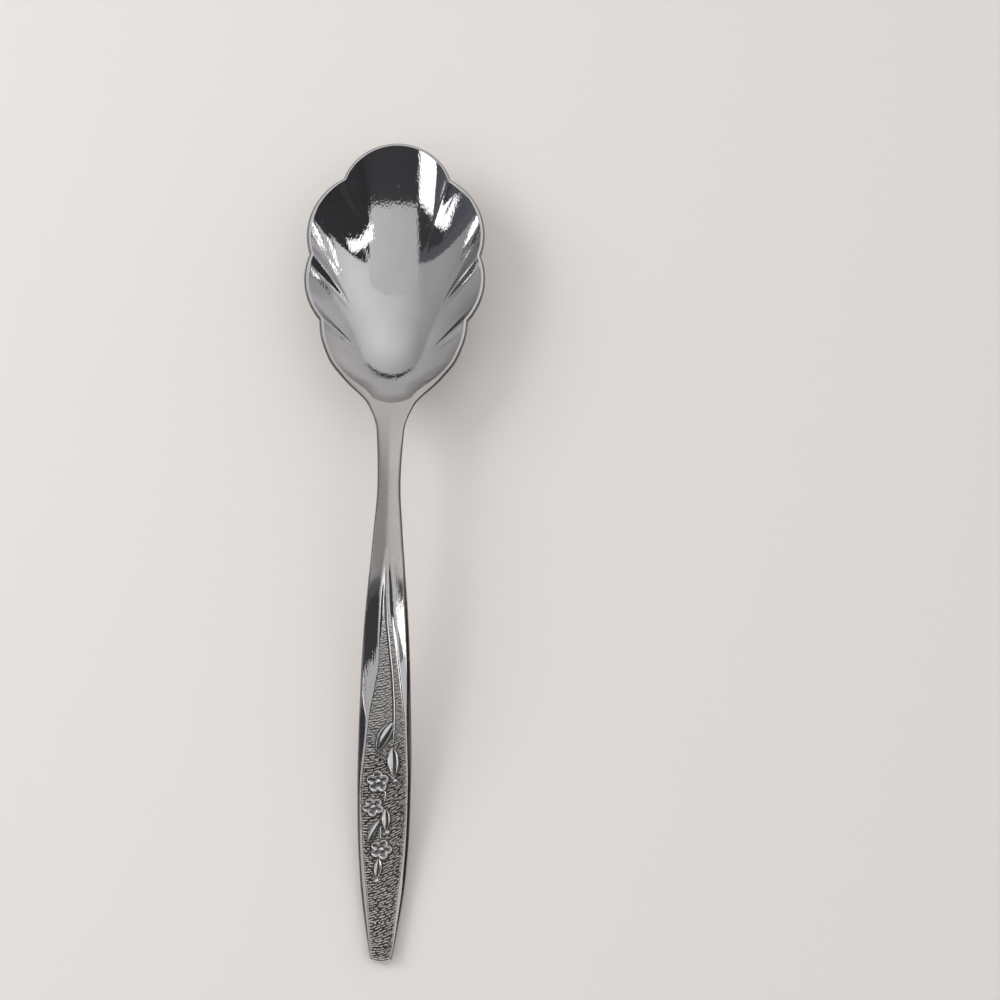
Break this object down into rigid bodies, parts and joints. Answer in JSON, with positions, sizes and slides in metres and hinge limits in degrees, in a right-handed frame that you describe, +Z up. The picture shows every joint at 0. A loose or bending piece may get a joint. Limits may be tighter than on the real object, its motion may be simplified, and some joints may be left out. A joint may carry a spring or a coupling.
{
  "type": "sugar spoon",
  "caption": "Small serving spoon with a fluted shell-shaped bowl, an arched neck and a flat handle whose sunk stippled panel carries a floral sprig in relief.",
  "frame": {"origin": "on the table under the middle of the spoon's length and width", "axes": "+Y along the spoon from the handle's end to the bowl's tip, +Z up out of the bowl, +X across"},
  "size_m": [0.0338, 0.152, 0.0136],
  "materials": {
    "polished_steel": "polished stainless steel with fine wear scratches",
    "stippled_steel": "stippled stainless steel with darker hollows"
  },
  "bodies": {
    "root": {"bowl": "polished_steel", "neck": "polished_steel", "handle": "polished_steel", "panel": "stippled_steel", "stem": "polished_steel", "leaf_1": "polished_steel", "leaf_2": "polished_steel", "leaf_3": "polished_steel", "leaf_4": "polished_steel", "leaf_5": "polished_steel", "blossom_1": "polished_steel", "blossom_2": "polished_steel", "blossom_3": "polished_steel", "buds": "polished_steel"}
  },
  "joints": []
}
